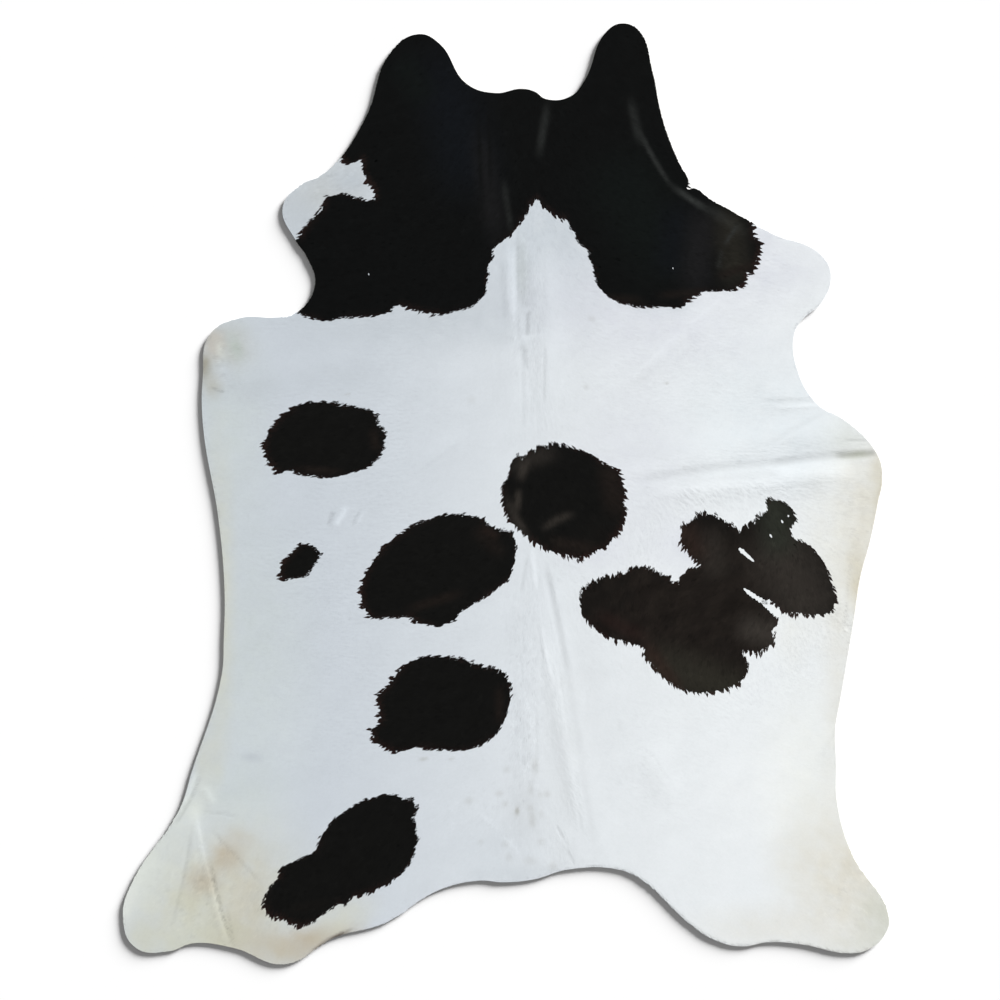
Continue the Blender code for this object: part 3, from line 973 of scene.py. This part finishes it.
def makeCoat(material):
    ring = ringSteps(skin.edge, coat["edgeStep"])
    count = len(ring)
    places, faces, rim = coatPlan(ring)
    depth = np.maximum(skin.depth(places), 0.0)
    span = np.ptp(ring, axis=0).max()
    margin = coatMap["margin"]
    uv = ((places - ring.min(axis=0)) / span * (1 - 2 * margin) + margin)[faces.ravel()]

    # the rim: the ends of the hair along the cut edge, down to the skin
    foot = len(places) + np.arange(count)
    after = np.roll(np.arange(count), -1)
    wall = np.concatenate([np.column_stack([rim, foot, foot[after]]),
                           np.column_stack([rim, foot[after], rim[after]])], axis=1).reshape(-1, 3)
    along = ring[after] - ring
    wallUV = rimLanes(np.hypot(*along.T), span)
    outward = np.column_stack([along[:, 1], -along[:, 0]])
    outward /= np.linalg.norm(outward, axis=1)[:, None]
    rimNormals = np.column_stack([outward, np.full(count, 0.4)])     # a little upwards

    height = np.concatenate([coatTop(places, depth), skinTop(ring) + 0.1 * mm])
    normals = np.vstack([coatNormals(places), rimNormals])
    normals /= np.linalg.norm(normals, axis=1)[:, None]
    places = np.vstack([places, ring])
    faces = np.vstack([faces, wall])
    piece = meshObject("hairCoat", np.column_stack([places, height]), faces)
    light, dark = coatColour(places)
    one = np.ones((len(places), 1))
    setAttribute(piece, "lightHair", "FLOAT_COLOR", np.hstack([light, one]))
    setAttribute(piece, "darkHair", "FLOAT_COLOR", np.hstack([dark, one]))
    setAttribute(piece, "patchDepth", "FLOAT", patchDepth(places) / mm)
    setMapUV(piece, np.vstack([uv, wallUV]))
    piece.data.normals_split_custom_set_from_vertices(normals.tolist())
    piece.data.materials.append(material)
    print("coat:", len(places), "points,", len(faces), "faces")
    return piece


# locks of hair lying on the coat

locks = {
    "spacing": 4.0 * mm,
    "length": (11 * mm, 17 * mm),
    "width": (2.4 * mm, 3.6 * mm),
    "fullWidth": 9 * mm,       # locks shorter than this are narrower too, down to half
    "broadest": 0.42,          # share of the length, from the root
    "clump": 10 * mm,          # locks within this distance share a tip
    "gather": 0.8,             # how much they lean together there
    "loose": 0.8 * mm,         # how far tips stray from it
    "borderZone": (8 * mm, 20 * mm),     # from a patch border, where the barbs fade out
    "barbs": 0.9,              # how much broader the locks are where they lie over a border
    "ragged": 6.0 * mm,        # how far a clump's colour strays over a patch border
    "colourFrom": 0.35,        # share of the length where the patch gives a lock its colour
    "overEdge": 1.2 * mm,      # how far tips may stand out over the cut edge
    "edgeZone": 20 * mm,
    "lightRoot": -0.04 * mm,   # light roots are hidden in the coat
    "darkRoot": 0.02 * mm,     # dark ones show, so that each lock stays joined to its patch
    "middle": (0.01 * mm, 0.05 * mm),    # over the coat, and how much more for the topmost locks
    "rise": 0.07 * mm,         # how high the topmost tips stand
    "lowest": 0.15,            # share of the rise for the lowest ones
    "ownLift": 0.15,           # share of a lock's layer that is its own, and not its clump's
    "droop": 0.5,              # how steeply tips over the cut edge hang
    "roll": 0.006,             # how much a lock's sides fall away
    "sway": 0.003,
    "redTips": 8 * mm,         # how far in from a border dark tips are reddened
    "redRim": (4 * mm, 22 * mm),
    "darkTone": 0.09,
    "uneven": 0.035,           # how much tufts differ where the hair lies less evenly
    "tone": 0.007,             # how much one lock differs from the next in brightness
}


def lockRoots(draw):
    low = skin.edge.min(axis=0)
    high = skin.edge.max(axis=0)
    spacing = locks["spacing"]
    columns = np.arange(low[0], high[0], spacing)
    rows = np.arange(low[1], high[1], spacing)
    gridX, gridY = np.meshgrid(columns, rows)
    roots = np.column_stack([gridX.ravel(), gridY.ravel()])
    roots = roots + draw.uniform(-0.5, 0.5, roots.shape) * spacing
    depth = skin.depth(roots)
    keep = depth > 0.3 * mm
    return roots[keep], depth[keep]


def clumpOf(roots, draw):
    # the nearest clump centre to each root
    size = locks["clump"]
    low = roots.min(axis=0)
    span = np.ceil((roots.max(axis=0) - low) / size).astype(int) + 1
    gridX, gridY = np.meshgrid(np.arange(span[0]), np.arange(span[1]))
    centres = low + np.column_stack([gridX.ravel(), gridY.ravel()]) * size
    centres = centres + draw.uniform(-0.45, 0.45, centres.shape) * size
    tree = KDTree(len(centres))
    for i, (x, y) in enumerate(centres):
        tree.insert((x, y, 0.0), i)
    tree.balance()
    index = np.array([tree.find((x, y, 0.0))[1] for x, y in roots])
    return centres, index


def gatheredTips(roots, length, centres, clump, crossing, draw):
    # tips lean towards their clump's own tip, most where the locks lie across a border
    tips = roots + hairFlow(roots) * length[:, None]
    gather = locks["gather"] * (0.4 + 0.6 * crossing)[:, None]
    together = centres[clump] + hairFlow(centres)[clump] * (0.9 * length)[:, None]
    tips += (together - tips) * gather
    tips += draw.normal(0, locks["loose"], tips.shape)
    return tips


def cutTips(roots, rootDepth, tips):
    # tips that would stand too far out over the cut edge are cut short
    near = np.flatnonzero(rootDepth < locks["edgeZone"])
    tipDepth = np.full(len(roots), locks["edgeZone"])
    tipDepth[near] = skin.depth(tips[near])
    over = tipDepth < -locks["overEdge"]
    share = (rootDepth + locks["overEdge"]) / np.maximum(rootDepth - tipDepth, 1e-5)
    tips[over] = roots[over] + (tips[over] - roots[over]) * share[over][:, None]
    tipDepth[over] = -locks["overEdge"]
    return tipDepth


def makeLocks(material):
    draw = np.random.default_rng(8)
    roots, rootDepth = lockRoots(draw)
    centres, clump = clumpOf(roots, draw)
    count = len(roots)
    length = draw.uniform(*locks["length"], count)
    # how much the locks lie across a border, and out of the dark hair
    depthAtRoots = patchDepth(roots)
    depthAtTips = patchDepth(roots + hairFlow(roots) * length[:, None])
    atBorder = 1 - smoothStep(*locks["borderZone"], np.abs(depthAtRoots))
    outflow = (depthAtRoots - depthAtTips) / length
    crossing = np.clip(np.abs(outflow), 0.0, 1.0)
    outflow = np.clip(outflow, 0.0, 1.0)
    tips = gatheredTips(roots, length, centres, clump, crossing, draw)
    tipDepth = cutTips(roots, rootDepth, tips)

    along = tips - roots
    length = np.hypot(along[:, 0], along[:, 1])
    along /= length[:, None]
    across = np.column_stack([-along[:, 1], along[:, 0]])
    width = draw.uniform(*locks["width"], count) * np.clip(length / locks["fullWidth"], 0.5, 1.0)
    width *= 1 + locks["barbs"] * crossing * atBorder
    middle = roots + along * (length * locks["broadest"])[:, None]
    left = middle + across * (width / 2)[:, None]
    right = middle - across * (width / 2)[:, None]

    # a clump whose dark hair strays outwards lies over its neighbours
    lift = draw.uniform(0.0, 1.0, count)
    stray = draw.uniform(-1.0, 1.0, len(centres))
    own = locks["ownLift"]
    lift = own * lift + (1 - own) * (0.5 + 0.5 * stray[clump])
    # colour: dark or light by where the lock lies, with each clump straying a little
    depth = patchDepth(roots + along * (length * locks["colourFrom"])[:, None])
    isDark = depth + locks["ragged"] * stray[clump] * (0.2 + 0.8 * crossing) > 0
    rootZ = coatTop(roots, rootDepth) + np.where(isDark, locks["darkRoot"], locks["lightRoot"])
    middleDepth = np.clip(rootDepth * 0.6 + tipDepth * 0.4, 0.0, None)
    lowMiddle, middleLift = locks["middle"]
    middleZ = coatTop(middle, middleDepth) + lowMiddle + middleLift * lift
    tipRise = locks["rise"] * (locks["lowest"] + (1 - locks["lowest"]) * lift)
    tipZ = coatTop(tips, np.maximum(tipDepth, 0.0)) + tipRise
    tipZ -= np.maximum(-tipDepth, 0.0) * locks["droop"]
    verts = np.stack([np.column_stack([roots, rootZ]), np.column_stack([left, middleZ]),
                      np.column_stack([tips, tipZ]), np.column_stack([right, middleZ])], axis=1)

    # brightness: each tuft and each lock differs a little
    tipTone = hexToLinear(coatTones["darkTip"])
    rimTone = hexToLinear(coatTones["darkRim"])
    outflow = outflow[:, None]
    nearBorder = (1 - smoothStep(0, locks["redTips"], depth))[:, None] * (0.35 + 0.65 * outflow)
    rim = (1 - smoothStep(*locks["redRim"], depth))[:, None] * outflow
    tuft = draw.normal(0, 1, len(centres))[clump] + 0.5 * draw.normal(0, 1, count)
    uneven = np.where(isDark, locks["darkTone"], roughness(roots) * locks["uneven"])
    brightness = (1 + locks["tone"] * draw.normal(0, 1, count) + uneven * tuft)[:, None]
    colours = np.ones((count, 4, 4))
    for spots, corners in ((roots, (0,)), (middle, (1, 3)), (tips, (2,))):
        light, dark = coatColour(spots)
        dark = np.maximum(dark, blend(dark, rimTone, rim))
        if spots is tips:
            dark = blend(dark, tipTone, nearBorder)
        for corner in corners:
            colours[:, corner, :3] = np.where(isDark[:, None], dark, light) * brightness

    # normals lean only a little off the coat's own, as fine hair shades softly
    none = np.zeros(count)
    sideLean = np.column_stack([across, none]) * locks["roll"]
    sway = np.column_stack([draw.normal(0, locks["sway"], (count, 2)), none])
    up = coatNormals(roots) + sway
    normals = np.stack([up, up + sideLean, up, up - sideLean], axis=1)
    normals /= np.linalg.norm(normals, axis=2)[:, :, None]

    pieces = []
    halves = np.array_split(draw.permutation(count), 2)
    for number, chosen in enumerate(halves, 1):
        name = f"hairLocks_{number}"
        pieces.append(lockPiece(name, verts[chosen], colours[chosen], normals[chosen], material))
    return pieces


def lockPiece(name, verts, colours, normals, material):
    # one mesh of many kites of two faces, each with a square of its own on the map
    count = len(verts)
    start = np.arange(count)[:, None] * 4
    faces = np.concatenate([start + (0, 2, 1), start + (0, 3, 2)], axis=1).reshape(-1, 3)
    piece = meshObject(name, verts.reshape(-1, 3), faces)
    setAttribute(piece, "lightHair", "FLOAT_COLOR", colours.reshape(-1, 4))
    cells = math.ceil(math.sqrt(count))
    corner = np.column_stack([np.arange(count) % cells, np.arange(count) // cells])[:, None, :]
    kite = np.array([(0.5, 0.1), (0.1, 0.5), (0.5, 0.9), (0.9, 0.5)])
    uv = ((corner + kite) / cells).reshape(-1, 2)
    setMapUV(piece, uv[faces.ravel()])
    piece.data.normals_split_custom_set_from_vertices(normals.reshape(-1, 3).tolist())
    piece.data.materials.append(material)
    print("locks:", count, "in", name)
    return piece


# thin light slits and specks in the dark hair, laid over it as strips with ragged edges

lightMarks = (
    # start, end, bow, width at the start and at the end
    ((545, -127), (580, -158), 0, 10, 5),
    ((556, -221), (612, -257), -2, 8, 11),
    ((598, -249), (642, -287), 0, 10, 18),
    ((660, -49), (661, -54), 0, 4, 4),
    ((644, -61), (648, -68), 0, 5, 4),
    ((617, -94), (622, -102), 0, 4, 3),
    ((-322, 516), (-320, 512), 0, 3, 2.5),
    ((390, 530), (391, 526), 0, 2.5, 2),
)


markShape = {
    "step": 3,                 # mm between the ragged places of a mark's sides
    "strips": 4,
    "ragged": 0.3,             # share of the width either way
    "over": 0.3 * mm,          # how high a mark lies over the coat
}


def makeMarks(material):
    draw = np.random.default_rng(41)
    corners = []
    for start, end, bow, startWidth, endWidth in lightMarks:
        steps = max(2, round(math.dist(start, end) / markShape["step"]))
        line = bowedLine(start, end, bow, steps)
        along = (line[-1] - line[0]) / np.linalg.norm(line[-1] - line[0])
        share = np.linspace(0.0, 1.0, steps + 1)
        width = (startWidth + (endWidth - startWidth) * share) * mm
        width = width * np.sqrt(np.clip(0.1 + 5 * np.minimum(share, 1 - share), 0.0, 1.0))
        width = width * (1 + markShape["ragged"] * draw.uniform(-1, 1, steps + 1))
        aside = np.linspace(-0.5, 0.5, markShape["strips"] + 1)
        aside = aside[:, None] * np.array([-along[1], along[0]])
        grid = line[:, None] + width[:, None, None] * aside
        quads = [grid[:-1, :-1], grid[:-1, 1:], grid[1:, 1:], grid[1:, :-1]]
        corners.append(np.stack(quads, axis=2).reshape(-1, 4, 2))
    flat = np.concatenate(corners).reshape(-1, 2)
    height = coatTop(flat, skin.depth(flat)) + markShape["over"]
    verts = np.column_stack([flat, height]).reshape(-1, 4, 3)
    colours = np.ones((len(verts), 4, 4))
    colours[:, :, :3] = coatColour(flat)[0].reshape(-1, 4, 3)
    normals = coatNormals(flat)
    normals /= np.linalg.norm(normals, axis=1)[:, None]
    return lockPiece("lightMarks", verts, colours, normals.reshape(-1, 4, 3), material)


# the leather: flesh side and cut edge

suedeFinish = {
    "tones": ("#a9a8a2", "#c2bfb6"),
    "cloudScale": 9.0,         # clouds of 110 mm
    "napScale": 900.0,         # a nap of 1.1 mm, coarser than the real one of 0.3 mm
    "napHeight": 0.4 * mm,
    "napStrength": 0.25,
    "roughness": 0.92,
    "ior": 1.5,
    "specular": 0.15,
}


def makeSuedeLeather():
    # Chrome-tanned cowhide, flesh side buffed to a short nap: pale grey with a little yellow, matt,
    # with a faint cloudy tone. The cut edge shows the same grey fibres.
    material, tree, shader = newMaterial("suedeLeather")
    place = addNode(tree, "ShaderNodeTexCoord")
    cloud = addNode(tree, "ShaderNodeTexNoise",
                    {"Scale": suedeFinish["cloudScale"], "Detail": 5.0, "Roughness": 0.6},
                    {"Vector": place.outputs["Object"]})
    nap = addNode(tree, "ShaderNodeTexNoise", {"Scale": suedeFinish["napScale"], "Detail": 2.0},
                  {"Vector": place.outputs["Object"]})
    ramp = addNode(tree, "ShaderNodeValToRGB", None, {"Fac": cloud.outputs["Fac"]})
    for stop, position, tone in zip(ramp.color_ramp.elements, (0.3, 0.7), suedeFinish["tones"]):
        stop.position = position
        stop.color = (*hexToLinear(tone), 1.0)
    bump = addNode(tree, "ShaderNodeBump",
                   {"Strength": suedeFinish["napStrength"], "Distance": suedeFinish["napHeight"]},
                   {"Height": nap.outputs["Fac"]})
    tree.links.new(ramp.outputs["Color"], shader.inputs["Base Color"])
    tree.links.new(bump.outputs["Normal"], shader.inputs["Normal"])
    shader.inputs["Roughness"].default_value = suedeFinish["roughness"]
    shader.inputs["IOR"].default_value = suedeFinish["ior"]
    shader.inputs["Specular IOR Level"].default_value = suedeFinish["specular"]
    return material


def makeLeather(material):
    # the skin itself, with the solid's own mesh
    mesh = bpy.data.objects["hide"].data.copy()
    mesh.name = "leather"
    mesh.materials.clear()
    mesh.materials.append(material)
    piece = bpy.data.objects.new("leather", mesh)
    bpy.context.scene.collection.objects.link(piece)
    print("leather:", len(mesh.polygons), "faces")
    return piece


# floor, light

studio = {
    "floorSize": 120.0,        # metres, so that its rim is out of sight
    "floorTone": "#f7f7f7",
    "floorRoughness": 0.95,
    "keyTurn": 45.0,           # degrees from +X towards +Y: the light comes from the upper right
    "keyHeight": 16.0,         # degrees over the floor
    "keyAngle": 22.0,          # how wide the light looks, in degrees
    "keyStrength": 9.8,
    "skyStrength": 0.22,
}


def makeFloor():
    # Wooden board rolled with matt white paint: even and without gloss, so only the shadow shows.
    half = studio["floorSize"] / 2
    corners = [(-half, -half, 0), (half, -half, 0), (half, half, 0), (-half, half, 0)]
    floor = meshObject("floor", corners, [(0, 1, 2), (0, 2, 3)], False)
    material, tree, shader = newMaterial("paintedBoard")
    shader.inputs["Base Color"].default_value = (*hexToLinear(studio["floorTone"]), 1.0)
    shader.inputs["Roughness"].default_value = studio["floorRoughness"]
    shader.inputs["Specular IOR Level"].default_value = 0.0
    floor.data.materials.append(material)


def makeLight():
    lamp = bpy.data.lights.new("keyLight", "SUN")
    lamp.angle = math.radians(studio["keyAngle"])
    lamp.energy = studio["keyStrength"]
    key = bpy.data.objects.new("keyLight", lamp)
    turn = math.radians(studio["keyTurn"])
    height = math.radians(studio["keyHeight"])
    level = math.cos(height)
    towards = Vector((math.cos(turn) * level, math.sin(turn) * level, math.sin(height)))
    key.rotation_euler = towards.to_track_quat("Z", "Y").to_euler()
    bpy.context.scene.collection.objects.link(key)
    world = bpy.data.worlds.new("studioSky")
    world.use_nodes = True
    tree = world.node_tree
    sky = tree.nodes["Background"]
    sky.inputs["Color"].default_value = (1.0, 1.0, 1.0, 1.0)
    sky.inputs["Strength"].default_value = studio["skyStrength"]
    bpy.context.scene.world = world
    bpy.context.scene.view_settings.view_transform = "Standard"
    print("floor and light placed")


napMaterial = makeLyingHair("shortCowHair", True)
lockMaterial = makeLyingHair("cowHairLocks", False)
hairCoat = makeCoat(napMaterial)
laidHair = makeLocks(lockMaterial) + [makeMarks(lockMaterial)]
leather = makeLeather(makeSuedeLeather())
makeFloor()
makeLight()

for piece in [leather, hairCoat] + laidHair:
    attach(piece, "root")
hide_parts("hide")
